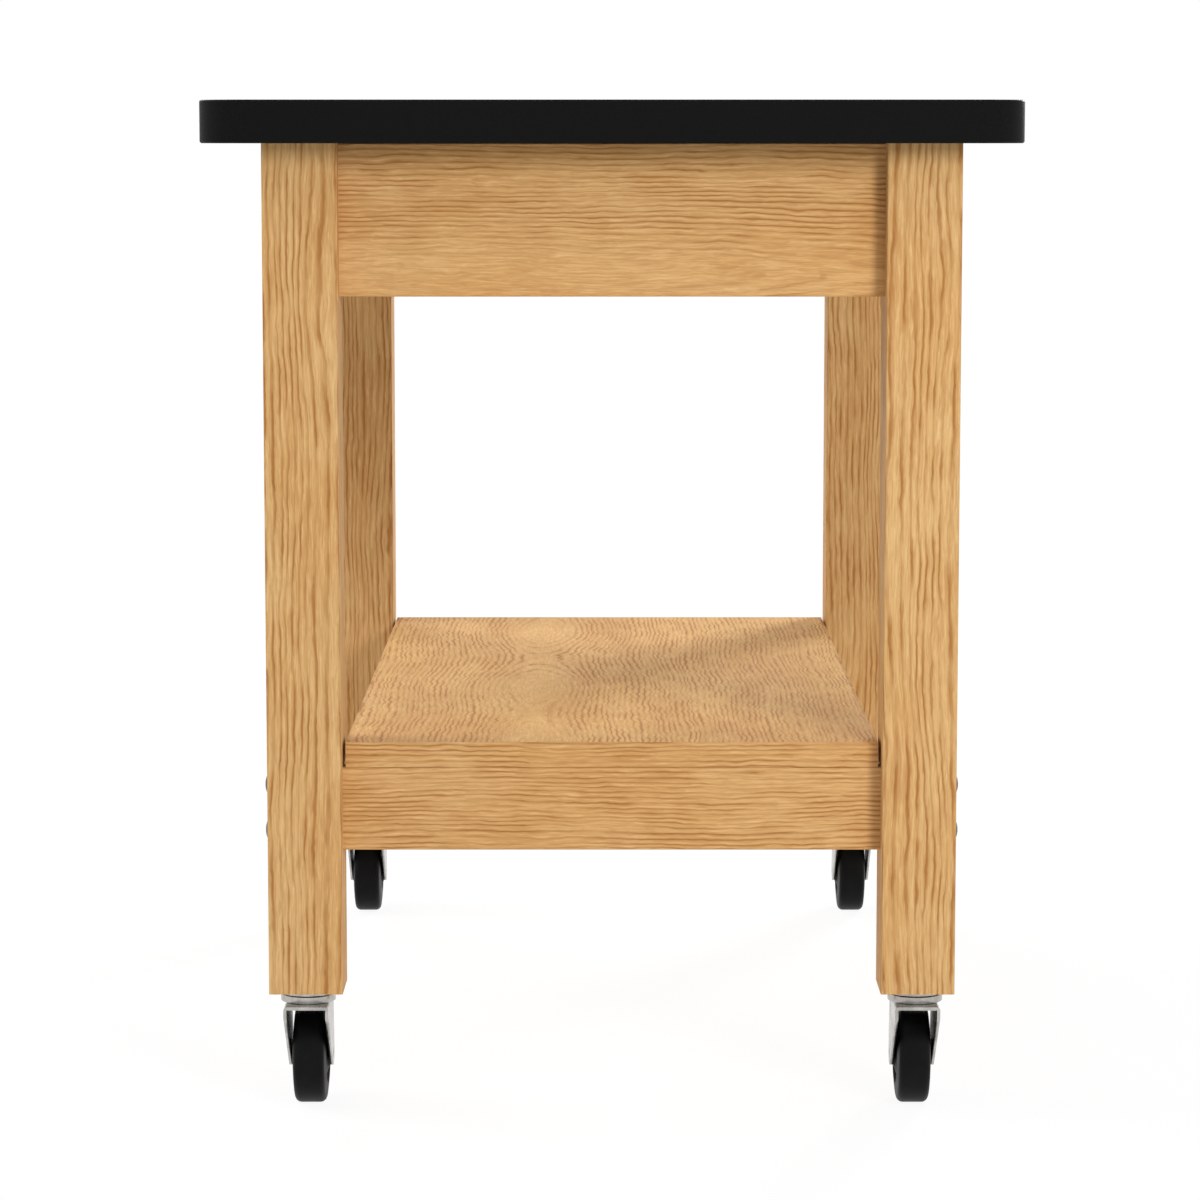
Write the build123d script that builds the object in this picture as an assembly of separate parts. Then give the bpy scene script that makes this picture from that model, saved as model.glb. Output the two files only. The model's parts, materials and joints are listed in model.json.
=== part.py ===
from build123d import *
import os
from math import sqrt

# Mobile demonstration cart: a black worktop on an oak frame with four square legs, an apron under
# the top, a low shelf carried by a rail at each end, and four swivel casters on threaded stems.
# X runs across the cart, Y along it with the front end at -Y, and Z up. The origin is on the floor
# at the centre of the worktop's outline. All sizes are in millimetres.

# Worktop
top_width = 609.6
top_length = 914.4
top_thickness = 31.75
top_corner_radius = 38.1
top_edge_round = 1.6
top_lower_edge_cut = 1.2
overhang = 44.45

# Legs
leg_size = 56.0
leg_length = 642.5
leg_edge_round = 1.6
leg_corner_cut = 12.0

# Aprons
apron_height = 114.3
apron_thickness = 19.05
board_edge_cut = 0.8

# Lower rails and shelf
rail_height = 63.5
rail_thickness = 19.05
shelf_height = 286.5
shelf_thickness = 19.05
shelf_side_gap = 2.3
band_thickness = 2.0

# Bolts that hold the lower rails to the legs
rail_bolt_radius = 4.0
rail_bolt_spacing = 35.0
rail_bolt_reach = 36.0
bolt_head_radius = 10.0
bolt_head_height = 3.5
bolt_socket_flats = 5.0
bolt_socket_depth = 2.4

# Corner brackets behind the aprons, each bored for a bolt into its leg
bracket_sheet = 2.0
bracket_height = 88.0
bracket_web_offset = 14.0
bracket_foot = 20.0
bracket_bend_radius = 3.0
bracket_bolt_radius = 4.0

# Angle clips under the worktop and the shelf
clip_leg = 20.0
clip_width = 22.0
clip_sheet = 2.0
clip_bend_radius = 2.0
top_clip_from_leg = 126.75
shelf_clip_from_leg = 74.35

# Caster as a whole
wheel_radius = 38.1
wheel_trail = 27.5
plate_over_wheel = 7.75

# Caster stem, cap and race ring
stem_radius = 5.0
stem_length = 35.0
stem_head_radius = 8.0
stem_head_height = 2.6
race_radius = 21.0
cap_thickness = 3.4
race_gap = 0.5
ring_height = 5.5

# Caster fork
fork_sheet = 2.4
fork_length = 62.0
fork_skirt = 8.8
fork_end_radius = 9.5
fork_corner_round = 1.6

# Caster wheel and axle
tread_half_width = 11.9
tread_shoulder = 4.9
wheel_side_flare = 0.7
wheel_side_gap = 2.1
wheel_rim_depth = 14.0
wheel_dish_depth = 2.6
wheel_dish_slope = 2.0
hub_radius = 11.0
axle_radius = 4.0

# Clearances
slip = 0.3
running = 0.08
snug = 0.05
bolt_clearance = 0.25

# Caster sizes worked out from the driving sizes
fork_inner = tread_half_width + wheel_side_flare + wheel_side_gap
fork_width = 2 * (fork_inner + fork_sheet)
hub_half_width = fork_inner - slip
fork_plate_bottom = 2 * wheel_radius + plate_over_wheel
fork_top = fork_plate_bottom + fork_sheet
stem_head_top = fork_plate_bottom - slip
ring_bottom = fork_top
ring_rim_top = ring_bottom + ring_height
cap_bottom = ring_rim_top + race_gap
caster_height = cap_bottom + cap_thickness
axle_seat = (wheel_trail, wheel_radius)

# Heights and centres of the frame worked out from the driving sizes
leg_bottom = caster_height
leg_top = leg_bottom + leg_length
total_height = leg_top + top_thickness
leg_x = top_width / 2 - overhang - leg_size / 2
leg_y = top_length / 2 - overhang - leg_size / 2
leg_inner_x = leg_x - leg_size / 2
leg_inner_y = leg_y - leg_size / 2
apron_bottom = leg_top - apron_height
apron_middle = leg_top - apron_height / 2
apron_inner_x = leg_x - apron_thickness / 2
apron_inner_y = leg_y - apron_thickness / 2
shelf_bottom = shelf_height - shelf_thickness
shelf_half_width = leg_inner_x - shelf_side_gap
shelf_end_y = leg_y + rail_thickness / 2
rail_middle = shelf_bottom - rail_height / 2
rail_inner_y = leg_y - rail_thickness / 2
rail_bolt_heights = (rail_middle - rail_bolt_spacing / 2, rail_middle + rail_bolt_spacing / 2)

corners = {
    "front_left": (-1, -1),
    "front_right": (1, -1),
    "rear_left": (-1, 1),
    "rear_right": (1, 1),
}
ends = {"front": -1, "rear": 1}
sides = {"left": -1, "right": 1}


def rod(radius, length, start, direction):
    """Round bar from start along direction."""
    return Plane(origin=start, z_dir=direction) * Cylinder(
        radius, length, align=(Align.CENTER, Align.CENTER, Align.MIN)
    )


def block(width, depth, height, middle, bottom):
    """Upright block, centred on middle in plan, standing on the height bottom."""
    return Pos(middle[0], middle[1], bottom) * Box(
        width, depth, height, align=(Align.CENTER, Align.CENTER, Align.MIN)
    )


def corner_point(signs, across, along, height):
    """Point measured from a leg's axis towards the middle of the cart."""
    sx, sy = signs
    return (sx * (leg_x - across), sy * (leg_y - along), height)


def without(solid, cuts):
    """Solid less each of the cuts."""
    for cut in cuts:
        solid = solid - cut
    return solid


# Bolts through the legs into the lower rails

def domed_bolt(head_seat, direction, length):
    """Connector bolt with a wide low dome and a hexagon socket; head_seat is under the head."""
    sphere = (bolt_head_radius**2 + bolt_head_height**2) / (2 * bolt_head_height)
    half = bolt_head_radius / 2
    half_height = bolt_head_height - sphere + sqrt(sphere**2 - half**2)
    crown = ThreePointArc((0, bolt_head_height), (half, half_height), (bolt_head_radius, 0))
    outline = crown + Polyline(
        (bolt_head_radius, 0),
        (rail_bolt_radius, 0),
        (rail_bolt_radius, -length),
        (0, -length),
        (0, bolt_head_height),
    )
    body = revolve(Plane.XZ * make_face(outline), Axis.Z)
    socket = Pos(0, 0, bolt_head_height - bolt_socket_depth) * extrude(
        RegularPolygon(bolt_socket_flats / 2, 6, major_radius=False), bolt_socket_depth
    )
    return Plane(origin=head_seat, z_dir=[-c for c in direction]) * (body - socket)


def rail_bolt_places(signs):
    """Seats under the two domed heads on a leg's outer face."""
    sx, sy = signs
    return [(sx * (leg_x + leg_size / 2), sy * leg_y, z) for z in rail_bolt_heights]


def rail_bolts():
    """Two bolts at each leg, threaded into the rail's end."""
    length = leg_size + rail_bolt_reach
    return [
        domed_bolt(seat, (-signs[0], 0, 0), length)
        for signs in corners.values()
        for seat in rail_bolt_places(signs)
    ]


# Corner brackets

def corner_bracket(signs):
    """Bent sheet across the corner of two aprons: a foot on each and a bored web between them."""
    sx, sy = signs
    face = apron_thickness / 2 + bracket_sheet / 2
    bend = leg_size + bracket_web_offset * sqrt(2) - face
    foot = bend + bracket_foot
    plan = [(foot, face), (bend, face), (face, bend), (face, foot)]
    corners_of_line = [corner_point(signs, u, v, apron_middle) for u, v in plan]
    line = FilletPolyline(*corners_of_line, radius=bracket_bend_radius)
    section = Plane(origin=line @ 0, x_dir=(0, 0, 1), z_dir=line % 0) * Rectangle(
        bracket_height, bracket_sheet
    )
    leg_axis = (sx * leg_x, sy * leg_y, apron_middle)
    bolt_hole = rod(bracket_bolt_radius + bolt_clearance, 3 * leg_size, leg_axis, (-sx, -sy, 0))
    return sweep(section, line) - bolt_hole


# Angle clips

def clip_planes(kind):
    """Planes of the angle clips: origin in the corner, X into the open side, Z along the clip."""
    if kind == "top":
        along = [
            Plane(origin=(sx * apron_inner_x, y, leg_top), x_dir=(-sx, 0, 0), z_dir=(0, sx, 0))
            for sx in sides.values()
            for y in (top_clip_from_leg - leg_inner_y, leg_inner_y - top_clip_from_leg)
        ]
        across = [
            Plane(origin=(0, sy * apron_inner_y, leg_top), x_dir=(0, -sy, 0), z_dir=(-sy, 0, 0))
            for sy in ends.values()
        ]
        return along + across
    return [
        Plane(origin=(x, sy * rail_inner_y, shelf_bottom), x_dir=(0, -sy, 0), z_dir=(-sy, 0, 0))
        for sy in ends.values()
        for x in (shelf_clip_from_leg - leg_inner_x, leg_inner_x - shelf_clip_from_leg)
    ]


def angle_clip():
    """Steel angle, rounded inside its bend."""
    outline = Polyline(
        (0, 0),
        (clip_leg, 0),
        (clip_leg, -clip_sheet),
        (clip_sheet, -clip_sheet),
        (clip_sheet, -clip_leg),
        (0, -clip_leg),
        close=True,
    )
    profile = make_face(outline)
    inner_corner = profile.vertices().sort_by_distance((clip_sheet, -clip_sheet))[0]
    profile = fillet(inner_corner, clip_bend_radius)
    return Pos(0, 0, -clip_width / 2) * extrude(profile, clip_width)


def clips(kind):
    """All the clips of one kind, in their places."""
    return [plane * angle_clip() for plane in clip_planes(kind)]


# Wooden pieces

def worktop():
    """Slab with rounded corners in plan and its edges eased."""
    outline = RectangleRounded(top_width, top_length, top_corner_radius)
    slab = Pos(0, 0, leg_top) * extrude(outline, top_thickness)
    slab = fillet(slab.edges().group_by(Axis.Z)[-1], top_edge_round)
    return chamfer(slab.edges().group_by(Axis.Z)[0], top_lower_edge_cut)


def leg(signs):
    """Square leg with eased edges, its inner corner cut behind the bracket, and its holes."""
    sx, sy = signs
    post = block(leg_size, leg_size, leg_length, (sx * leg_x, sy * leg_y), leg_bottom)
    post = fillet(post.edges().filter_by(Axis.Z), leg_edge_round)
    inner = (sx * leg_inner_x, sy * leg_inner_y)
    cut_plan = Polyline(
        inner,
        (inner[0] + sx * leg_corner_cut, inner[1]),
        (inner[0], inner[1] + sy * leg_corner_cut),
        close=True,
    )
    cut_bottom = apron_middle - bracket_height / 2
    corner_cut = Pos(0, 0, cut_bottom) * extrude(make_face(cut_plan), leg_top - cut_bottom)
    holes = [
        rod(rail_bolt_radius + bolt_clearance, leg_size, seat, (-sx, 0, 0))
        for seat in rail_bolt_places(signs)
    ]
    foot = (sx * leg_x, sy * leg_y, leg_bottom)
    holes.append(rod(stem_radius + snug, stem_length + slip, foot, (0, 0, 1)))
    return without(post, [corner_cut, *holes])


def eased_board(width, depth, height, middle, bottom, lengthwise):
    """Board with its long edges eased."""
    board = block(width, depth, height, middle, bottom)
    return chamfer(board.edges().filter_by(lengthwise), board_edge_cut)


def end_apron(sy):
    """Apron across the front or rear end."""
    middle = (0, sy * leg_y)
    return eased_board(2 * leg_inner_x, apron_thickness, apron_height, middle, apron_bottom, Axis.X)


def side_apron(sx):
    """Apron along the left or right side."""
    middle = (sx * leg_x, 0)
    return eased_board(apron_thickness, 2 * leg_inner_y, apron_height, middle, apron_bottom, Axis.Y)


def lower_rail(sy):
    """End rail under the shelf, bored at both ends for the bolts."""
    middle = (0, sy * leg_y)
    bottom = shelf_bottom - rail_height
    board = eased_board(2 * leg_inner_x, rail_thickness, rail_height, middle, bottom, Axis.X)
    reach = leg_size + rail_bolt_reach + slip
    holes = [
        rod(rail_bolt_radius + snug, reach, seat, (-signs[0], 0, 0))
        for signs in corners.values()
        if signs[1] == sy
        for seat in rail_bolt_places(signs)
    ]
    return without(board, holes)


def shelf_panel():
    """Veneered panel inside the edge bands."""
    width = 2 * (shelf_half_width - band_thickness)
    length = 2 * (shelf_end_y - band_thickness)
    return block(width, length, shelf_thickness, (0, 0), shelf_bottom)


def shelf_end_band(sy):
    """Edge band on the panel's front or rear edge."""
    middle = (0, sy * (shelf_end_y - band_thickness / 2))
    return block(2 * shelf_half_width, band_thickness, shelf_thickness, middle, shelf_bottom)


def shelf_side_band(sx):
    """Edge band on the panel's left or right edge, between the end bands."""
    middle = (sx * (shelf_half_width - band_thickness / 2), 0)
    length = 2 * (shelf_end_y - band_thickness)
    return block(band_thickness, length, shelf_thickness, middle, shelf_bottom)


# Casters. Each is drawn about its own swivel axis at the origin, trailing towards +Y.

def turned(*points):
    """Solid turned about the swivel axis from radius and height pairs."""
    return revolve(Plane.XZ * make_face(Polyline(*points, close=True)), Axis.Z)


def stem():
    """Stem for the leg that runs down through the races and ends in a riveted head."""
    stem_top = caster_height + stem_length
    return turned(
        (0, stem_head_top - stem_head_height),
        (stem_head_radius, stem_head_top - stem_head_height),
        (stem_head_radius, stem_head_top),
        (stem_radius, stem_head_top),
        (stem_radius, stem_top),
        (0, stem_top),
    )


def race_cap():
    """Pressed cap between the leg and the race ring."""
    bore = stem_radius + snug
    return turned(
        (bore, cap_bottom),
        (race_radius, cap_bottom),
        (race_radius, caster_height),
        (bore, caster_height),
    )


def race_ring():
    """Race ring on the fork. Its top rises from an open gap at the rim to bear on the cap."""
    bore = stem_radius + slip
    return turned(
        (bore, ring_bottom),
        (race_radius, ring_bottom),
        (race_radius, ring_rim_top),
        (bore, cap_bottom - running),
    )


def fork():
    """Sheet steel fork: a flat top and two cheeks that sweep back to the axle."""
    strip = Pos(0, fork_top - fork_skirt / 2) * Rectangle(fork_length, fork_skirt)
    boss = Pos(*axle_seat) * Circle(fork_end_radius)
    cheek = make_hull((strip + boss).edges())
    solid = extrude(Plane.YZ * cheek, fork_width / 2, both=True)
    long_top = solid.edges().filter_by(Axis.Y).group_by(Axis.Z)[-1]
    solid = fillet(long_top, fork_corner_round)
    inside = Pos(0, 0, fork_plate_bottom / 2) * Box(2 * fork_inner, 2 * fork_length, fork_plate_bottom)
    stem_hole = Pos(0, 0, fork_top) * Cylinder(stem_radius + slip, 4 * fork_sheet)
    axle_hole = rod(axle_radius + snug, 2 * fork_width, (-fork_width, *axle_seat), (1, 0, 0))
    return solid - inside - stem_hole - axle_hole


def axle():
    """Pin through both cheeks, flush with them."""
    return rod(axle_radius, fork_width, (-fork_width / 2, *axle_seat), (1, 0, 0))


def wheel():
    """Moulded wheel: flat tread, round shoulders, flared sides, a dished web and a hub."""
    side = tread_half_width + wheel_side_flare
    rim_inner = wheel_radius - wheel_rim_depth
    bore = axle_radius + running
    shoulder_start = (tread_half_width - tread_shoulder, wheel_radius)
    shoulder_end = (tread_half_width, wheel_radius - tread_shoulder)
    corner = (tread_half_width, wheel_radius)
    outline = Bezier(shoulder_start, corner, shoulder_end) + Polyline(
        shoulder_end,
        (side, rim_inner),
        (side - wheel_dish_depth, rim_inner - wheel_dish_slope),
        (hub_half_width, hub_radius),
        (hub_half_width, bore),
        (0, bore),
        (0, wheel_radius),
        shoulder_start,
    )
    half = make_face(outline)
    section = half + mirror(half, Plane.YZ)
    return Pos(0, *axle_seat) * revolve(section, Axis.X)


# Every piece, named and written out

def as_group(solids):
    """Separate solids that share one name."""
    flat = [solid for shape in solids for solid in shape.solids()]
    return flat[0] if len(flat) == 1 else Compound(children=flat)


def build():
    """Returns every piece of the cart by name."""
    pieces = {"worktop": worktop()}
    for end, sy in ends.items():
        pieces[f"apron_{end}"] = end_apron(sy)
        pieces[f"lower_rail_{end}"] = lower_rail(sy)
        pieces[f"shelf_band_{end}"] = shelf_end_band(sy)
    for side, sx in sides.items():
        pieces[f"apron_{side}"] = side_apron(sx)
        pieces[f"shelf_band_{side}"] = shelf_side_band(sx)
    pieces["shelf_panel"] = shelf_panel()
    pieces["rail_bolts"] = as_group(rail_bolts())
    pieces["top_clips"] = as_group(clips("top"))
    pieces["shelf_clips"] = as_group(clips("shelf"))
    caster = {
        "stem": stem(),
        "cap": race_cap(),
        "race": race_ring(),
        "fork": fork(),
        "axle": axle(),
        "wheel": wheel(),
    }
    for corner, signs in corners.items():
        pieces[f"leg_{corner}"] = leg(signs)
        pieces[f"bracket_{corner}"] = corner_bracket(signs)
        for name, solid in caster.items():
            pieces[f"caster_{name}_{corner}"] = Pos(signs[0] * leg_x, signs[1] * leg_y, 0) * solid
    return pieces


os.makedirs("parts", exist_ok=True)
for name, piece in build().items():
    export_step(piece, f"parts/{name}.step")
print(f"height {total_height:.2f}, legs {2 * leg_x + leg_size:.2f} by {2 * leg_y + leg_size:.2f}")
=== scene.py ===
import json
from math import hypot, pi, radians

import bmesh
import bpy
import numpy as np
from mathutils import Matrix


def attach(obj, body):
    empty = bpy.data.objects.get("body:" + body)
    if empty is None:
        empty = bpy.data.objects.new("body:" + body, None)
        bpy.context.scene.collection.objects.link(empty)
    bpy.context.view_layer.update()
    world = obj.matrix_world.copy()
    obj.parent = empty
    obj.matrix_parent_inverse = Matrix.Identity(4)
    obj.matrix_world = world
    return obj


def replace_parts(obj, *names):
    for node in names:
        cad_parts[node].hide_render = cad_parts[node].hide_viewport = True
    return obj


# Mobile demonstration cart. X runs across it, Y along it with the front end at -Y, Z up, in metres.

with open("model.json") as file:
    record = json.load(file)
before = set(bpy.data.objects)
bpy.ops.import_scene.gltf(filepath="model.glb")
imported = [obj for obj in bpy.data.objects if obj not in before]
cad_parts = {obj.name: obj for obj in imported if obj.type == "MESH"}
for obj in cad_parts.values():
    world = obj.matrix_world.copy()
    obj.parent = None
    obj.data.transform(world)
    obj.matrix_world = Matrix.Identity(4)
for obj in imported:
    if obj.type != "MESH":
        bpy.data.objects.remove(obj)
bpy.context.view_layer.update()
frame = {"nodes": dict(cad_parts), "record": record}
nodes = frame["nodes"]

# Corner name to its sides: -1 is left or front and 1 is right or rear.
CORNERS = {
    "front_left": (-1, -1), "front_right": (1, -1), "rear_left": (-1, 1), "rear_right": (1, 1)
}
TOP_HALF = (0.3048, 0.4572)
TOP_CORNER = 0.0381
TOP_THICKNESS = 0.03175
TOP_UNDERSIDE = 0.73825
BOARD = 0.01905
APRON_MIDDLE = 0.6811
SHELF_UNDERSIDE = 0.26745
RAIL_BOLT_HEIGHTS = (0.2182, 0.2532)

# A leg's middle, which is also its caster's stem, and the leg's width and foot.
LEG = (0.23235, 0.38475)
LEG_SIZE = 0.056
LEG_FOOT = 0.09575

# Casters. The wheel's middle stands TRAIL behind the stem.
STEM_BORE = 0.00505
CAP_BOTTOM = 0.09235
RACE_RADIUS = 0.021
FORK_TOP = 0.08635
WHEEL_RADIUS = 0.0381
TRAIL = 0.0275


# Materials

# Inputs that go by number, of Map Range and of a colour Mix, and settings that come back often.
VALUE, FROM_LOW, FROM_HIGH, TO_LOW, TO_HIGH = range(5)
SHARE, FIRST, SECOND = 0, 6, 7
SMOOTH = {"interpolation_type": "SMOOTHSTEP"}
COLOURS = {"data_type": "RGBA"}


def hex_colour(code):
    """An sRGB hex value as linear red, green, blue and alpha."""
    values = [int(code[i:i + 2], 16) / 255 for i in (1, 3, 5)]
    linear = [v / 12.92 if v <= 0.04045 else ((v + 0.055) / 1.055) ** 2.4 for v in values]
    return (*linear, 1.0)


def add(tree, kind, inputs=None, stops=None, **settings):
    """Adds a node of that kind with its settings.

    inputs are values, nodes or sockets by the name or number of the socket they go into, where a
    node stands for its first output in use, and stops are the places and greys of a colour ramp."""
    made = tree.nodes.new("ShaderNode" + kind)
    for name, value in settings.items():
        setattr(made, name, value)
    for name, value in (inputs or {}).items():
        if isinstance(value, bpy.types.Node):
            value = next(socket for socket in value.outputs if socket.enabled)
        if isinstance(value, bpy.types.NodeSocket):
            tree.links.new(value, made.inputs[name])
        else:
            made.inputs[name].default_value = value
    if stops:
        ramp = made.color_ramp
        ramp.interpolation = "EASE"
        while len(ramp.elements) < len(stops):
            ramp.elements.new(0.5)
        for element, (place, grey) in zip(ramp.elements, stops):
            element.position = place
            element.color = (grey, grey, grey, 1)
    return made


def new_material(name):
    """An empty material, its node tree and its place on the object in metres."""
    material = bpy.data.materials.new(name)
    material.use_nodes = True
    tree = material.node_tree
    tree.nodes.clear()
    return material, tree, add(tree, "TexCoord").outputs["Object"]


def oak(name, turn, fold, pith, bow, ring, wander, ripple, heart,
        light="#DDB076", dark="#AA733D", warm="#C99253", pale="#EBC58F"):
    """Flat-sawn white oak under a clear satin lacquer.

    The board is cut from a log whose yearly rings are cylinders about the pith, so one field of
    rings gives the face, edge and end grain of each piece. The field's own X runs across the face,
    Y through the thickness and Z along the grain, in millimetres. turn brings the object's axes to
    it, and an axis in fold is taken without its sign, so that pieces on both sides of the cart are
    cut alike. pith is the pith's place, and bow is the height, the length of a radian and the
    middle of the slow bend that closes the rings into ovals. ring is the growth of a year, wander
    how far the rings stray slowly, ripple the size, the width and the length of their short waves,
    and heart the plain core about the pith that no ring shows in.
    What the eye gets is dark open pores at each ring, fading through the softer wood, lines that
    come and go, and short pore marks. Pores are 0.3 mm wide and drawn at 0.8 mm to show."""
    # Sizes in millimetres across the grain, and how much longer each thing is along it.
    to_mm = (1000, 1000, 1000)
    stray_size, year_size, break_size, cloud_size, stretch = 55, 17, 10, 45, 4
    fibre_size, fibre_stretch = 1.3, 20
    pore_size, pore_stretch = 0.8, 11
    uneven_years, fade = 1.3, 18.0
    pore_brown, pore_strength = "#7A5228", 0.45

    # The rings: distance from the bent and rippled pith, counted in years of uneven growth.
    material, tree, place = new_material(name)
    local = add(tree, "Mapping", {"Vector": place, "Scale": to_mm, "Rotation": turn})
    grain = add(tree, "Mapping", {"Vector": local, "Scale": (1, 1, 1 / stretch)})
    axes = add(tree, "SeparateXYZ", {0: local}).outputs
    sides = [
        add(tree, "Math", {0: axes[i]}, operation="ABSOLUTE") if folded else axes[i]
        for i, folded in enumerate(fold)
    ]
    log = add(tree, "CombineXYZ", {0: sides[0], 1: sides[1], 2: axes[2]})
    log = add(tree, "VectorMath", {0: log, 1: pith}, operation="SUBTRACT")
    slow = add(tree, "TexNoise", {"Vector": grain, "Scale": 1 / stray_size, "Detail": 1.0})
    log = add(
        tree, "VectorMath", {0: slow.outputs["Color"], 1: (wander, wander, 0), 2: log},
        operation="MULTIPLY_ADD",
    )
    size, width, length = ripple
    waves = add(tree, "Mapping", {"Vector": local, "Scale": (1 / width, 1 / width, 1 / length)})
    quick = add(tree, "TexNoise", {"Vector": waves, "Scale": 1.0, "Detail": 2.0, "Roughness": 0.6})
    log = add(
        tree, "VectorMath", {0: quick.outputs["Color"], 1: (size, size, 0), 2: log},
        operation="MULTIPLY_ADD",
    )
    height, radian, middle = bow
    parts = add(tree, "SeparateXYZ", {0: log}).outputs
    angle = add(
        tree, "Math", {0: parts[2], 1: 1 / radian, 2: -middle / radian}, operation="MULTIPLY_ADD"
    )
    bend = add(tree, "Math", {0: angle}, operation="SINE")
    deep = add(tree, "Math", {0: bend, 1: height, 2: parts[1]}, operation="MULTIPLY_ADD")
    flat = add(tree, "CombineXYZ", {0: parts[0], 1: deep, 2: heart})
    radius = add(tree, "VectorMath", {0: flat}, operation="LENGTH").outputs["Value"]
    years = add(
        tree, "TexNoise", {"W": radius, "Scale": 1 / year_size, "Detail": 1.0},
        noise_dimensions="1D",
    )
    uneven = add(
        tree, "Math", {0: years, 1: ring * uneven_years, 2: radius}, operation="MULTIPLY_ADD"
    )
    counted = add(tree, "Math", {0: uneven, 1: ring}, operation="DIVIDE")
    within = add(tree, "Math", {0: counted}, operation="FRACT")

    # The lines: dark at the start of each year, broken along the grain and faint at the heart.
    line = add(
        tree, "ValToRGB", {0: within},
        stops=[(0.0, 1.0), (0.1, 0.9), (0.34, 0.2), (0.62, 0.0), (0.88, 0.25), (1.0, 1.0)],
    )
    broken = add(tree, "TexNoise", {"Vector": grain, "Scale": 1 / break_size, "Detail": 1.0})
    comes = add(
        tree, "MapRange",
        {VALUE: broken, FROM_LOW: 0.32, FROM_HIGH: 0.66, TO_LOW: 0.3, TO_HIGH: 1.0}, **SMOOTH,
    )
    outside = add(
        tree, "MapRange",
        {VALUE: radius, FROM_LOW: heart, FROM_HIGH: 2.0 * heart + fade, TO_LOW: 0.06, TO_HIGH: 1.0},
        **SMOOTH,
    )
    shown = add(tree, "Math", {0: comes, 1: outside}, operation="MULTIPLY")
    drawn = add(tree, "Math", {0: line, 1: shown}, operation="MULTIPLY")

    # The fibres between them: dark streaks, pale glints, warm clouds and pore marks on the lines.
    straws = add(tree, "Mapping", {"Vector": log, "Scale": (1, 1, 1 / fibre_stretch)})
    fibre = add(
        tree, "TexNoise",
        {"Vector": straws, "Scale": 1 / fibre_size, "Detail": 3.0, "Roughness": 0.6},
    )
    streaks = add(
        tree, "MapRange",
        {VALUE: fibre, FROM_LOW: 0.33, FROM_HIGH: 0.6, TO_LOW: 0.34, TO_HIGH: 0.0}, **SMOOTH,
    )
    glints = add(
        tree, "MapRange",
        {VALUE: fibre, FROM_LOW: 0.55, FROM_HIGH: 0.72, TO_LOW: 0.0, TO_HIGH: 0.5}, **SMOOTH,
    )
    cloud = add(tree, "TexNoise", {"Vector": grain, "Scale": 1 / cloud_size, "Detail": 2.0})
    patch = add(
        tree, "MapRange",
        {VALUE: cloud, FROM_LOW: 0.35, FROM_HIGH: 0.7, TO_LOW: 0.0, TO_HIGH: 0.4}, **SMOOTH,
    )
    dashes = add(tree, "Mapping", {"Vector": log, "Scale": (1, 1, 1 / pore_stretch)})
    mark = add(tree, "TexNoise", {"Vector": dashes, "Scale": 1 / pore_size, "Detail": 1.0})
    pores = add(tree, "MapRange", {VALUE: mark, FROM_LOW: 0.6, FROM_HIGH: 0.78}, **SMOOTH)
    on_ring = add(tree, "MapRange", {VALUE: drawn, FROM_LOW: 0.1, FROM_HIGH: 0.8}, **SMOOTH)
    pore_rows = add(tree, "Math", {0: pores, 1: on_ring}, operation="MULTIPLY")
    pore_share = add(tree, "Math", {0: pore_rows, 1: pore_strength}, operation="MULTIPLY")

    # From the ground up: warm clouds, pale glints, ring lines, dark streaks and pores.
    colour = hex_colour(light)
    for share, over in (
        (patch, warm), (glints, pale), (drawn, dark), (streaks, dark), (pore_share, pore_brown)
    ):
        inputs = {SHARE: share, FIRST: colour, SECOND: hex_colour(over)}
        colour = add(tree, "Mix", inputs, **COLOURS)
    rough = add(tree, "MapRange", {VALUE: drawn, TO_LOW: 0.55, TO_HIGH: 0.68})
    relief = add(tree, "Math", {0: pore_rows, 1: -1.0, 2: fibre}, operation="MULTIPLY_ADD")
    bump = add(tree, "Bump", {"Height": relief, "Strength": 0.25, "Distance": 0.0002})
    shader = add(tree, "BsdfPrincipled", {
        "Base Color": colour, "Roughness": rough, "IOR": 1.5, "Specular IOR Level": 0.09,
        "Normal": bump,
    })
    add(tree, "OutputMaterial", {"Surface": shader})
    return material


def laminate(name, low, high):
    """High-pressure laminate, black all through, with its pressed matt face.

    The press plate leaves a fine pebble of about 0.4 mm, drawn at 0.9 mm to show, that breaks the
    highlights into a soft grey; handling leaves the sheen a little uneven over a hand's width."""
    pebbles_per_m, hands_per_m = 1100, 11
    material, tree, place = new_material(name)
    pebble = add(tree, "TexNoise", {"Vector": place, "Scale": pebbles_per_m, "Detail": 2.0})
    sheen = add(tree, "TexNoise", {"Vector": place, "Scale": hands_per_m, "Detail": 3.0})
    share = add(tree, "MapRange", {VALUE: pebble, FROM_LOW: 0.3, FROM_HIGH: 0.7}, **SMOOTH)
    colour = add(
        tree, "Mix", {SHARE: share, FIRST: hex_colour(low), SECOND: hex_colour(high)}, **COLOURS
    )
    rough = add(
        tree, "MapRange",
        {VALUE: sheen, FROM_LOW: 0.3, FROM_HIGH: 0.7, TO_LOW: 0.47, TO_HIGH: 0.51}, **SMOOTH,
    )
    bump = add(tree, "Bump", {"Height": pebble, "Strength": 0.15, "Distance": 0.0001})
    shader = add(tree, "BsdfPrincipled", {
        "Base Color": colour, "Roughness": rough, "IOR": 1.4, "Specular IOR Level": 0.06,
        "Normal": bump,
    })
    add(tree, "OutputMaterial", {"Surface": shader})
    return material


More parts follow.
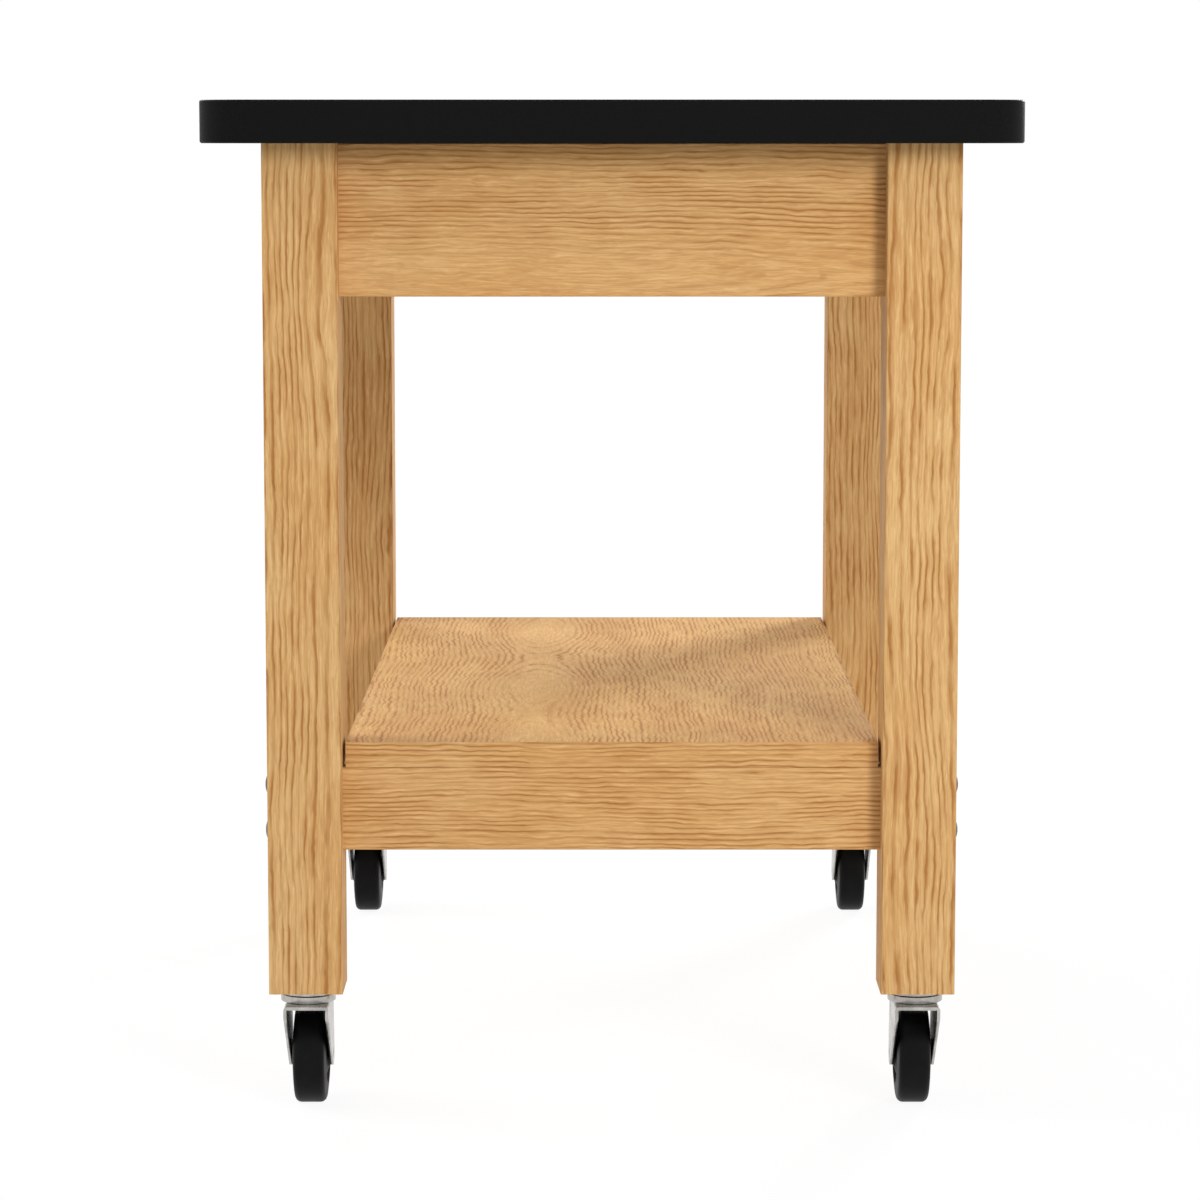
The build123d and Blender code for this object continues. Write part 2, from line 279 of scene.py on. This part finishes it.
def plated(name, bright, dull, rough, clouds_per_m):
    """Steel under a thin metal plating, pressed or turned and then tumbled.

    The eye gets a cool grey metal whose polish changes in soft cloudy patches, with faint draw
    marks that run upright; marks of 0.1 mm are drawn at 0.6 mm to show. Seen along the sheet it
    turns almost white, as all metals do."""
    marks_per_m, mark_stretch, cloud_weight = 1600, 18, 0.6
    smoother, rougher = 0.07, 0.09
    material, tree, place = new_material(name)
    cloud = add(
        tree, "TexNoise",
        {"Vector": place, "Scale": clouds_per_m, "Detail": 4.0, "Roughness": 0.6},
    )
    upright = add(tree, "Mapping", {"Vector": place, "Scale": (1, 1, 1 / mark_stretch)})
    marks = add(tree, "TexNoise", {"Vector": upright, "Scale": marks_per_m, "Detail": 2.0})
    share = add(tree, "MapRange", {VALUE: cloud, FROM_LOW: 0.3, FROM_HIGH: 0.7}, **SMOOTH)
    colour = add(
        tree, "Mix", {SHARE: share, FIRST: hex_colour(bright), SECOND: hex_colour(dull)}, **COLOURS
    )
    mixed = add(tree, "Math", {0: cloud, 1: cloud_weight, 2: marks}, operation="MULTIPLY_ADD")
    polish = add(
        tree, "MapRange",
        {VALUE: mixed, FROM_LOW: 0.5, FROM_HIGH: 1.1,
         TO_LOW: rough - smoother, TO_HIGH: rough + rougher}, **SMOOTH,
    )
    bump = add(tree, "Bump", {"Height": marks, "Strength": 0.05, "Distance": 0.00008})
    shader = add(tree, "BsdfPrincipled", {
        "Base Color": colour, "Roughness": polish, "Metallic": 1.0, "Normal": bump,
    })
    add(tree, "OutputMaterial", {"Surface": shader})
    return material


def rubber(name, black, dusty):
    """Hard black rubber, compression moulded.

    A fine matt mould skin of 0.3 mm, drawn at 0.8 mm to show, and a little dust held low in it."""
    grit_per_m, dust_per_m = 1250, 60
    material, tree, place = new_material(name)
    grit = add(
        tree, "TexNoise",
        {"Vector": place, "Scale": grit_per_m, "Detail": 3.0, "Roughness": 0.6},
    )
    dust = add(tree, "TexNoise", {"Vector": place, "Scale": dust_per_m, "Detail": 3.0})
    share = add(
        tree, "MapRange", {VALUE: dust, FROM_LOW: 0.4, FROM_HIGH: 0.75, TO_HIGH: 0.7}, **SMOOTH
    )
    colour = add(
        tree, "Mix", {SHARE: share, FIRST: hex_colour(black), SECOND: hex_colour(dusty)}, **COLOURS
    )
    rough = add(
        tree, "MapRange",
        {VALUE: dust, FROM_LOW: 0.3, FROM_HIGH: 0.7, TO_LOW: 0.44, TO_HIGH: 0.52}, **SMOOTH,
    )
    bump = add(tree, "Bump", {"Height": grit, "Strength": 0.2, "Distance": 0.0001})
    shader = add(tree, "BsdfPrincipled", {
        "Base Color": colour, "Roughness": rough, "IOR": 1.52, "Specular IOR Level": 0.1,
        "Normal": bump,
    })
    add(tree, "OutputMaterial", {"Surface": shader})
    return material


# Turns that bring the field's grain along the legs, across the cart, and along it for boards on
# edge and for the shelf. The legs are cut with the rings running corner to corner, which gives
# straight grain on every face.
UPRIGHT, ACROSS = (0, 0, 0), (0, -pi / 2, 0)
ALONG_SIDE, ALONG_SHELF = (pi / 2, 0, pi / 2), (pi / 2, 0, 0)
# The dark bronze is on the rail bolts, the galvanised sheet on the clips and brackets with their
# screws, and the bright zinc on the casters.
FINISH = {
    "black_laminate": laminate("black_laminate", "#0F0F0F", "#161616"),
    "oak_leg": oak(
        "oak_leg", turn=UPRIGHT, fold=(True, True), pith=(82, 235, 0), bow=(3, 260, 0),
        ring=4.0, wander=18.0, ripple=(3.4, 11, 30), heart=2, light="#DDB57C", pale="#EBC993",
    ),
    "oak_end_board": oak(
        "oak_end_board", turn=ACROSS, fold=(False, True), pith=(-632, 394, 0), bow=(22, 300, 40),
        ring=3.9, wander=12.0, ripple=(4.2, 13, 30), heart=9, light="#DAAE75",
    ),
    "oak_side_board": oak(
        "oak_side_board", turn=ALONG_SIDE, fold=(False, True), pith=(655, 242, 0),
        bow=(24, 280, -60), ring=3.9, wander=12.0, ripple=(4.2, 13, 30), heart=9,
    ),
    # The shelf is the same oak as the legs, painted lighter here: its lighter colours stand in for
    # light that the shelf, under the worktop, doesn't get, so this is painted light.
    "oak_shelf": oak(
        "oak_shelf", turn=ALONG_SHELF, fold=(False, False), pith=(-53, -286, 0),
        bow=(30, 105, -71), ring=4.4, wander=9.0, ripple=(6.6, 24, 20), heart=14,
        light="#E8BB78", dark="#B47C45", pale="#F6D299",
    ),
    "dark_bolt": plated(
        "dark_bronze_plated_steel", "#6B5745", "#4A3B30", rough=0.4, clouds_per_m=120
    ),
    "plain_steel": plated("galvanised_sheet", "#BFC0C2", "#9D9EA1", rough=0.42, clouds_per_m=45),
    "zinc_steel": plated("zinc_plated_steel", "#C1BEBA", "#A6A39F", rough=0.26, clouds_per_m=70),
    "black_rubber": rubber("black_rubber", "#090909", "#161514"),
}


def paint_cad_nodes():
    """Each CAD node gets the finish of its slot."""
    for part in frame["record"]["subparts"]:
        mesh = nodes[part["node"]].data
        mesh.materials.clear()
        mesh.materials.append(FINISH[part["material_slot"]])


# Surfaces

# Points nearer than WELD become one, and edges shorter than TOO_SHORT are dropped. A section that
# ends on its axis ends ON_AXIS from it, so that its last ring welds to a point.
WELD, TOO_SHORT = 2e-6, 1e-7
ON_AXIS = 1e-6


def piece(name, points, faces, slot, body, sharp=35):
    """Makes a closed mesh piece from its points and faces, facing outward, riding on its body.

    Edges that turn by more than sharp degrees stay crisp."""
    mesh = bpy.data.meshes.new(name)
    mesh.from_pydata(np.asarray(points, float).reshape(-1, 3), [], faces)
    made = bpy.data.objects.new(name, mesh)
    bpy.context.scene.collection.objects.link(made)
    work = bmesh.new()
    work.from_mesh(mesh)
    bmesh.ops.remove_doubles(work, verts=work.verts, dist=WELD)
    bmesh.ops.dissolve_degenerate(work, dist=TOO_SHORT, edges=work.edges)
    bmesh.ops.recalc_face_normals(work, faces=work.faces)
    work.to_mesh(mesh)
    work.free()
    mesh.shade_smooth()
    mesh.set_sharp_from_angle(angle=radians(sharp))
    mesh.materials.append(FINISH[slot])
    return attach(made, body)


def skin(rings, closed=False):
    """Faces of a surface through rings of points: each ring joins the next, and the ends are capped
    or, when closed, the last ring joins the first."""
    count, around = rings.shape[:2]
    row = np.arange(count if closed else count - 1)[:, None]
    step = np.arange(around)[None, :]
    next_row, next_step = (row + 1) % count, (step + 1) % around
    corners = [
        row * around + step, row * around + next_step,
        next_row * around + next_step, next_row * around + step,
    ]
    quads = np.stack(np.broadcast_arrays(*corners), -1).reshape(-1, 4).tolist()
    if closed:
        return quads
    return quads + [list(range(around))[::-1], list(range((count - 1) * around, count * around))]


def turned(radius, height, origin, axis, steps):
    """Rings about an axis: at each angle a point lies radius from the axis and height along it.

    Both are given for each ring, and radius may also change with the angle."""
    radius, height = np.array(radius, float), np.array(height, float)
    radius = radius[:, None] if radius.ndim == 1 else radius
    axis = np.array(axis, float) / np.linalg.norm(axis)
    side = np.cross(axis, (0, 0, 1) if abs(axis[2]) < 0.9 else (1, 0, 0))
    side = side / np.linalg.norm(side)
    angle = np.linspace(0, 2 * pi, steps, endpoint=False)
    circle = np.cos(angle)[:, None] * side + np.sin(angle)[:, None] * np.cross(axis, side)
    return np.array(origin) + radius[..., None] * circle + height[:, None, None] * axis


def arc(centre, radius, start, end, steps):
    """Points of a circle's arc from one angle to another, in degrees."""
    angle = np.radians(np.linspace(start, end, steps))
    return list(zip(centre[0] + radius * np.cos(angle), centre[1] + radius * np.sin(angle)))


def joined(surfaces):
    """Points and faces of several surfaces put together as one."""
    points, faces, first = [], [], 0
    for rings, these in surfaces:
        points.append(rings.reshape(-1, 3))
        faces += [[first + v for v in face] for face in these]
        first += rings.size // 3
    return np.concatenate(points), faces


def worktop_slab():
    """Slab: an outline with round corners carried up a profile that gives its distance inwards.

    The outline is a rectangle whose corners are quarter circles; at a distance d inwards every
    straight side moves in by d and each corner's radius shrinks by d. The edge under the top face
    is a quarter circle and the lower one is broken by two small flats."""
    top_ease, ease_steps, corner_steps = 0.0016, 6, 17
    flats_inward, flats_rise = [0.0012, 0.0006, 0.0], [0.0, 0.0005, 0.0012]
    turn = np.linspace(0, pi / 2, ease_steps)
    inward = np.concatenate([flats_inward, top_ease * (1 - np.cos(turn))])
    rise = np.concatenate([flats_rise, TOP_THICKNESS - top_ease * (1 - np.sin(turn))])
    quarter = np.linspace(0, pi / 2, corner_steps)
    angles = np.concatenate([quarter + k * pi / 2 for k in range(4)])
    sign_x = np.repeat([1, -1, -1, 1], corner_steps)
    sign_y = np.repeat([1, 1, -1, -1], corner_steps)
    reach = TOP_CORNER - inward[:, None]
    x = sign_x * (TOP_HALF[0] - TOP_CORNER) + reach * np.cos(angles)
    y = sign_y * (TOP_HALF[1] - TOP_CORNER) + reach * np.sin(angles)
    z = np.broadcast_to(TOP_UNDERSIDE + rise[:, None], x.shape)
    rings = np.stack([x, y, z], -1)
    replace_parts(piece("worktop_slab", rings, skin(rings), "black_laminate", "cart"), "worktop")


# Fasteners

def hexagon_reach(flats, steps):
    """Distance from a hexagon's middle to its edge at each angle: half its width over the cosine of
    the angle to the nearest side's middle."""
    angle = np.linspace(0, 2 * pi, steps, endpoint=False)
    return flats / 2 / np.cos((angle + pi / 6) % (pi / 3) - pi / 6)


def cross_reach(half_width, arm, steps):
    """Distance from a cross's middle to its edge at each angle: the further of two crossed bars,
    each ending at the nearer of its side and its tip.

    The angles start a little off the bars' axes, where the formula would divide by zero."""
    off_axis = 1e-3
    angle = np.linspace(0, 2 * pi, steps, endpoint=False) + off_axis
    along, beside = np.abs(np.cos(angle)), np.abs(np.sin(angle))
    one_bar = np.minimum(arm / along, half_width / beside)
    other_bar = np.minimum(arm / beside, half_width / along)
    return np.maximum(one_bar, other_bar)


def headed(profile, recess, depth, seat, out):
    """Screw or bolt: a profile of radius and height from the shank's tip to the recess in its head,
    then the recess's own outline, which goes down by depth, a little narrower at the bottom, and
    closes in a shallow cone."""
    bottom, middle, cone = 0.96, 0.02, 1.2
    radius, height = np.array(profile, float).T
    steps = len(recess)
    top = height[-1]
    outline = np.repeat(radius[:, None], steps, 1)
    radius = np.concatenate([outline, recess * np.array([[1.0], [bottom], [middle]])])
    height = np.concatenate([height, [top, top - depth, top - depth * cone]])
    rings = turned(radius, height, seat, out, steps)
    return rings, skin(rings)


def rail_bolts():
    """The eight bolts through the legs, as one piece.

    The head is a low cap cut from a sphere: with r its radius and h its height, the sphere's radius
    is (r^2 + h^2) / 2h. It has a hexagon socket, and the cap stops just clear of its corners."""
    head, rise, rim, lowest = 0.010, 0.0035, 0.0003, 0.0004
    shank, length, flats, depth, clear, dome_steps, steps = 0.004, 0.092, 0.005, 0.0024, 1.16, 9, 48
    sphere = (head**2 + rise**2) / (2 * rise)
    crown = np.linspace(head, flats / 2 * clear, dome_steps)
    dome = np.maximum(rise - sphere + np.sqrt(sphere**2 - crown**2), lowest)
    profile = [
        (ON_AXIS, -length), (shank * 0.8, -length), (shank, -length + shank * 0.2), (shank, 0),
        (head - rim, 0), (head, lowest / 2), *zip(crown, dome),
    ]
    bolts = []
    for sx, sy in CORNERS.values():
        for height in RAIL_BOLT_HEIGHTS:
            seat = (sx * (LEG[0] + LEG_SIZE / 2), sy * LEG[1], height)
            bolts.append(headed(profile, hexagon_reach(flats, steps), depth, seat, (sx, 0, 0)))
    made = piece("rail_bolt_set", *joined(bolts), "dark_bolt", "cart", sharp=40)
    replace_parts(made, "rail_bolts")


def wood_screw(seat, out):
    """Wood screw: a rounded pan head with a cross recess, turned about the shank and seated on the
    sheet, and a stub of the shank."""
    shank, stub, seated, widest, rim, round_foot = 0.0018, 0.002, 0.0041, 0.0042, 0.0003, 0.0005
    rounding, land = 0.0018, (0.0022, 0.0023)
    half_width, arm, depth, steps = 0.0005, 0.0019, 0.0013, 32
    profile = [
        (ON_AXIS, -stub), (shank, -stub), (shank, 0), (seated, 0), (widest, rim),
        *arc((widest - rounding, round_foot), rounding, 0, 78, 5), land,
    ]
    return headed(profile, cross_reach(half_width, arm, steps), depth, seat, out)


def frame_screws():
    """Wood screws of the angle clips and corner brackets, as one piece.

    A clip has one screw in each leaf, 12 mm from its corner, and a bracket has two in each
    flange."""
    leaf, sheet = 0.012, 0.002
    side_clips, shelf_clips = 0.23, 0.13
    bracket_along, bracket_sheet, bracket_rise = 0.0755, 0.011525, 0.026
    inner_x, inner_y = LEG[0] - BOARD / 2, LEG[1] - BOARD / 2
    sides = CORNERS.values()
    clips = [((sx * inner_x, sy * side_clips, TOP_UNDERSIDE), (sx, 0)) for sx, sy in sides]
    clips += [((sx * shelf_clips, sy * inner_y, SHELF_UNDERSIDE), (0, sy)) for sx, sy in sides]
    clips += [((0, sy * inner_y, TOP_UNDERSIDE), (0, sy)) for sy in (-1, 1)]
    screws = []
    for (x, y, z), (wx, wy) in clips:
        screws.append(wood_screw((x - wx * leaf, y - wy * leaf, z - sheet), (0, 0, -1)))
        screws.append(wood_screw((x - wx * sheet, y - wy * sheet, z - leaf), (-wx, -wy, 0)))
    for sx, sy in sides:
        for z in (APRON_MIDDLE - bracket_rise, APRON_MIDDLE + bracket_rise):
            beside = (sx * (LEG[0] - bracket_along), sy * (LEG[1] - bracket_sheet), z)
            behind = (sx * (LEG[0] - bracket_sheet), sy * (LEG[1] - bracket_along), z)
            screws += [wood_screw(beside, (0, -sy, 0)), wood_screw(behind, (-sx, 0, 0))]
    piece("frame_screw_set", *joined(screws), "plain_steel", "cart")


def bracket_bolts():
    """The bolt of each corner bracket with its washer and nut, as one piece.

    The washer and the bolt are turned sections, given as radius and height over the bracket's web.
    The nut is a hexagon whose corners are turned off by a cone at its outer end."""
    washer = np.array([
        (0.0041, 0), (0.0097, 0), (0.01, 0.0003), (0.01, 0.0013), (0.0097, 0.0016), (0.0041, 0.0016)
    ])
    stud = np.array([
        (ON_AXIS, -0.03), (0.0039, -0.03), (0.0039, 0.0125), (0.0033, 0.0132), (ON_AXIS, 0.0132)
    ])
    flats, high, plain, crown, web_distance = 0.013, 0.0065, 0.0052, 0.96, 0.0546
    steps, stud_steps = 48, 32
    side = hexagon_reach(flats, steps)
    nut_radius = np.stack([side, side, np.full(steps, flats / 2 * crown)])
    bolts = []
    for sx, sy in CORNERS.values():
        out = np.array((-sx, -sy, 0)) / hypot(1, 1)
        web = np.array((sx * LEG[0], sy * LEG[1], APRON_MIDDLE)) + out * web_distance
        rings = turned(*washer.T, web, out, steps)
        bolts.append((rings, skin(rings, True)))
        rings = turned(nut_radius, (0, plain, high), web + out * washer[-1, 1], out, steps)
        bolts.append((rings, skin(rings)))
        rings = turned(*stud.T, web, out, stud_steps)
        bolts.append((rings, skin(rings)))
    piece("bracket_bolt_set", *joined(bolts), "plain_steel", "cart")


# Casters

def wheel_profile():
    """Half of the wheel's section as (radius, distance from its middle), bore to tread.

    A hub stands out beyond a dished web, and the tyre's shoulder is a quarter circle."""
    hub = [(0.00408, 0.0144), (0.0106, 0.0144), (0.011, 0.0140), (0.0113, 0.0133)]
    web = [(0.0218, 0.0101), (0.0221, 0.0103)]
    side = [(0.0238, 0.0127), (0.0243, 0.0130), (0.0251, 0.0130), (0.0302, 0.0125)]
    rounding, tread_side, tread_half = 0.0049, 0.0072, 0.0035
    shoulder = arc((WHEEL_RADIUS - rounding, tread_side), rounding, 90, 0, 9)
    return hub + web + side + shoulder + [(WHEEL_RADIUS, tread_half)]


def fork_surface(x, y):
    """Fork: one strip of sheet carried from one cheek's foot up, over the top and down the other.

    The strip's front and rear edges at each height are the outline drawn tight round the skirt and
    the round end at the axle: the furthest of all straight lines from the skirt's corner to the
    circle."""
    sheet, half_width, half_length, bend, ease = 0.0024, 0.0171, 0.031, 0.0014, 0.0003
    skirt, end, below_bend = 0.0088, 0.0095, 0.0005
    inside_foot, touching = 1e-7, 1e-6
    end_rows, cheek_rows, bend_rows, circle_steps = 12, 10, 7, 721
    hem = FORK_TOP - skirt
    foot = WHEEL_RADIUS - end
    half = sheet / 2

    # The strip's middle line, up one cheek and to the crown, and the way its outer face looks.
    middle = half_width - half
    bend_foot = FORK_TOP - half - bend
    heights = np.concatenate([
        foot + end * (1 - np.cos(np.linspace(0, pi / 2, end_rows))),
        np.linspace(WHEEL_RADIUS, hem, cheek_rows)[1:],
        [bend_foot - below_bend],
    ])
    turn = np.radians(np.linspace(180, 90, bend_rows))
    cheek = len(heights)
    across = np.concatenate([np.full(cheek, -middle), -middle + bend + bend * np.cos(turn)])
    rise = np.concatenate([heights, bend_foot + bend * np.sin(turn)])
    out_x = np.concatenate([np.full(cheek, -1.0), np.cos(turn)])
    out_z = np.concatenate([np.zeros(cheek), np.sin(turn)])
    across, out_x = np.append(across, -across[::-1]), np.append(out_x, -out_x[::-1])
    rise, out_z = np.append(rise, rise[::-1]), np.append(out_z, out_z[::-1])

    # Its front and rear edge at each of those heights.
    circle = np.radians(np.linspace(0, 360, circle_steps))
    end_y, end_z = TRAIL + end * np.cos(circle), WHEEL_RADIUS + end * np.sin(circle)
    level = np.clip(rise, foot + inside_foot, hem)[:, None]
    below = end_z < level - touching
    share = np.where(below, (hem - level) / (hem - np.where(below, end_z, 0)), 0)
    front = np.where(below, -half_length + share * (end_y + half_length), 1).min(1)
    rear = np.where(below, half_length + share * (end_y - half_length), -1).max(1)
    round_end = np.sqrt(np.maximum(end**2 - (level[:, 0] - WHEEL_RADIUS) ** 2, 0))
    inside = level[:, 0] < WHEEL_RADIUS + end
    front = np.where(inside, np.minimum(front, TRAIL - round_end), front)
    rear = np.where(inside, np.maximum(rear, TRAIL + round_end), rear)

    # Its section across: the sheet's thickness with eased edges.
    soft = np.minimum(ease, (rear - front) / 2)
    flat = np.full(len(soft), half)
    along = np.stack(
        [front, front, front + soft, rear - soft, rear, rear, rear - soft, front + soft], -1
    )
    depth = np.stack(
        [-half + soft, half - soft, flat, flat, half - soft, -half + soft, -flat, -flat], -1
    )
    outward = across[:, None] + out_x[:, None] * depth
    upward = rise[:, None] + out_z[:, None] * depth
    return np.stack([x + outward, y + along, upward], -1)


def caster(corner, sx, sy):
    """Cap, race ring, fork, axle pin and wheel of one caster, in place of the CAD's coarser ones.

    All but the fork are turned: a section carried round the stem or the axle. The sections go by
    radius and height, or by radius and distance from the wheel's middle."""
    x, y = sx * LEG[0], sy * LEG[1]
    swivel, stem, up = f"swivel_{corner}", (x, y, 0), (0, 0, 1)

    edge = 0.0004
    rim = RACE_RADIUS - edge
    cap = [
        (STEM_BORE, LEG_FOOT), *arc((rim, LEG_FOOT - edge), edge, 90, 0, 4),
        *arc((rim, CAP_BOTTOM + edge), edge, 0, -90, 4), (STEM_BORE, CAP_BOTTOM),
    ]
    rings = turned(*np.array(cap).T, stem, up, steps=96)
    made = piece(f"race_cap_{corner}", rings, skin(rings, True), "zinc_steel", "cart")
    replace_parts(made, f"caster_cap_{corner}")

    edge, bore, rim_top, middle_top = 0.0005, 0.0053, 0.09185, 0.09227
    rim = RACE_RADIUS - edge
    ring = [
        (bore, FORK_TOP), *arc((rim, FORK_TOP + edge), edge, -90, 0, 4),
        *arc((rim, rim_top - edge), edge, 0, 90, 4), (bore, middle_top),
    ]
    rings = turned(*np.array(ring).T, stem, up, steps=96)
    made = piece(f"race_ring_{corner}", rings, skin(rings, True), "zinc_steel", swivel)
    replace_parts(made, f"caster_race_{corner}")

    axle, right = (x, y + TRAIL, WHEEL_RADIUS), (1, 0, 0)
    half = wheel_profile()
    whole = half + [(r, -w) for r, w in half[::-1]]
    rings = turned(*np.array(whole).T, axle, right, steps=120)
    made = piece(
        f"tread_wheel_{corner}", rings, skin(rings, True), "black_rubber", f"wheel_{corner}",
        sharp=28,
    )
    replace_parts(made, f"caster_wheel_{corner}")

    # The pin's end is staked: a shallow dimple in a low dome.
    half = [
        (ON_AXIS, 0.01712), (0.0009, 0.01713), (0.0015, 0.01733), (0.0019, 0.01735),
        (0.0031, 0.01731), (0.0038, 0.01716), (0.00398, 0.017), (0.004, 0.0168),
    ]
    whole = half + [(r, -w) for r, w in half[::-1]]
    rings = turned(*np.array(whole).T, axle, right, steps=48)
    made = piece(f"axle_pin_{corner}", rings, skin(rings), "zinc_steel", swivel)
    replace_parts(made, f"caster_axle_{corner}")

    rings = fork_surface(x, y)
    made = piece(f"bent_fork_{corner}", rings, skin(rings), "zinc_steel", swivel, sharp=40)
    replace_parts(made, f"caster_fork_{corner}")


# Studio

def studio():
    """White floor that keeps a soft shadow near the cart, and a white surround.

    Both are plain white to the camera and in reflections, and a softer white as light. Near the
    cart a tenth of what the camera gets is lit paper, which takes the shadow, and from there to far
    that share fades out, so that no edge shows."""
    near, far, white_near, white_far = 1.2, 4.0, 0.9, 1.0
    floor_glow, surround_light, reach = 1.02, 0.27, 30
    material = bpy.data.materials.new("white_floor")
    world = bpy.data.worlds.new("studio")
    bpy.context.scene.world = world
    seen = []
    for owner in (material, world):
        owner.use_nodes = True
        tree = owner.node_tree
        tree.nodes.clear()
        rays = add(tree, "LightPath").outputs
        either = add(
            tree, "Math", {0: rays["Is Camera Ray"], 1: rays["Is Glossy Ray"]}, operation="MAXIMUM"
        )
        any_of = {0: either, 1: rays["Is Transmission Ray"]}
        seen.append(add(tree, "Math", any_of, operation="MAXIMUM"))

    tree = material.node_tree
    paper = add(tree, "BsdfDiffuse", {"Color": hex_colour("#F4F4F3")})
    glow = add(tree, "Emission", {"Color": (1, 1, 1, 1), "Strength": floor_glow})
    place = add(tree, "TexCoord").outputs["Object"]
    away = add(tree, "VectorMath", {0: place}, operation="LENGTH").outputs["Value"]
    white = add(
        tree, "MapRange",
        {VALUE: away, FROM_LOW: near, FROM_HIGH: far, TO_LOW: white_near, TO_HIGH: white_far},
        **SMOOTH,
    )
    share = add(tree, "Math", {0: seen[0], 1: white}, operation="MULTIPLY")
    add(tree, "OutputMaterial", {
        "Surface": add(tree, "MixShader", {0: share, 1: paper, 2: glow}),
    })
    outline = [(-reach, -reach, 0), (reach, -reach, 0), (reach, reach, 0), (-reach, reach, 0)]
    mesh = bpy.data.meshes.new("floor")
    mesh.from_pydata(outline, [], [(0, 1, 2, 3)])
    mesh.materials.append(material)
    floor = bpy.data.objects.new("floor", mesh)
    bpy.context.scene.collection.objects.link(floor)

    tree = world.node_tree
    soft = add(tree, "Background", {"Color": (1, 1, 1, 1), "Strength": surround_light})
    white = add(tree, "Background", {"Color": (1, 1, 1, 1), "Strength": 1.0})
    add(tree, "OutputWorld", {
        "Surface": add(tree, "MixShader", {0: seen[1], 1: soft, 2: white}),
    })


def lamp(name, place, aim, size, watts, mirrored=True):
    """Soft square lamp at a place, facing aim. Polished faces show it only if mirrored is true."""
    data = bpy.data.lights.new(name, "AREA")
    data.shape = "SQUARE"
    data.size = size
    data.energy = watts
    made = bpy.data.objects.new(name, data)
    made.visible_camera = False
    made.visible_glossy = mirrored
    made.location = place
    dx, dy, dz = np.array(aim, float) - np.array(place, float)
    made.rotation_euler = (np.arctan2(hypot(dx, dy), -dz), 0, np.arctan2(dy, dx) - pi / 2)
    bpy.context.scene.collection.objects.link(made)


def camera(place, tilt, lens):
    """Camera that looks along Y and down by tilt, from the fit to the photograph's edges."""
    data = bpy.data.cameras.new("camera")
    data.lens = lens
    data.sensor_width = 36
    made = bpy.data.objects.new("camera", data)
    made.location = place
    made.rotation_euler = (pi / 2 - tilt, 0, 0)
    bpy.context.scene.collection.objects.link(made)
    bpy.context.scene.camera = made


camera(place=(-0.008944, -3.39257, 0.74622), tilt=0.1165, lens=119.89)
studio()
lamp("key", (1.45, -2.95, 1.35), (0, 0, 0.35), size=0.8, watts=49, mirrored=False)
lamp("rear_right", (1.6, 2.75, 1.5), (0, 0, 0.35), size=0.7, watts=73)
lamp("rear_left", (-1.2, 2.45, 1.9), (0, 0, 0.3), size=1.2, watts=25)
lamp("left_soft", (-2.7, 0.1, 1.9), (0, 0, 0.3), size=2.0, watts=61, mirrored=False)
lamp("front_top", (0, -2.2, 3.0), (0, 0, 0.4), size=1.8, watts=13)
bpy.context.scene.view_settings.view_transform = "Standard"
paint_cad_nodes()
worktop_slab()
rail_bolts()
for corner, (sx, sy) in CORNERS.items():
    caster(corner, sx, sy)
frame_screws()
bracket_bolts()
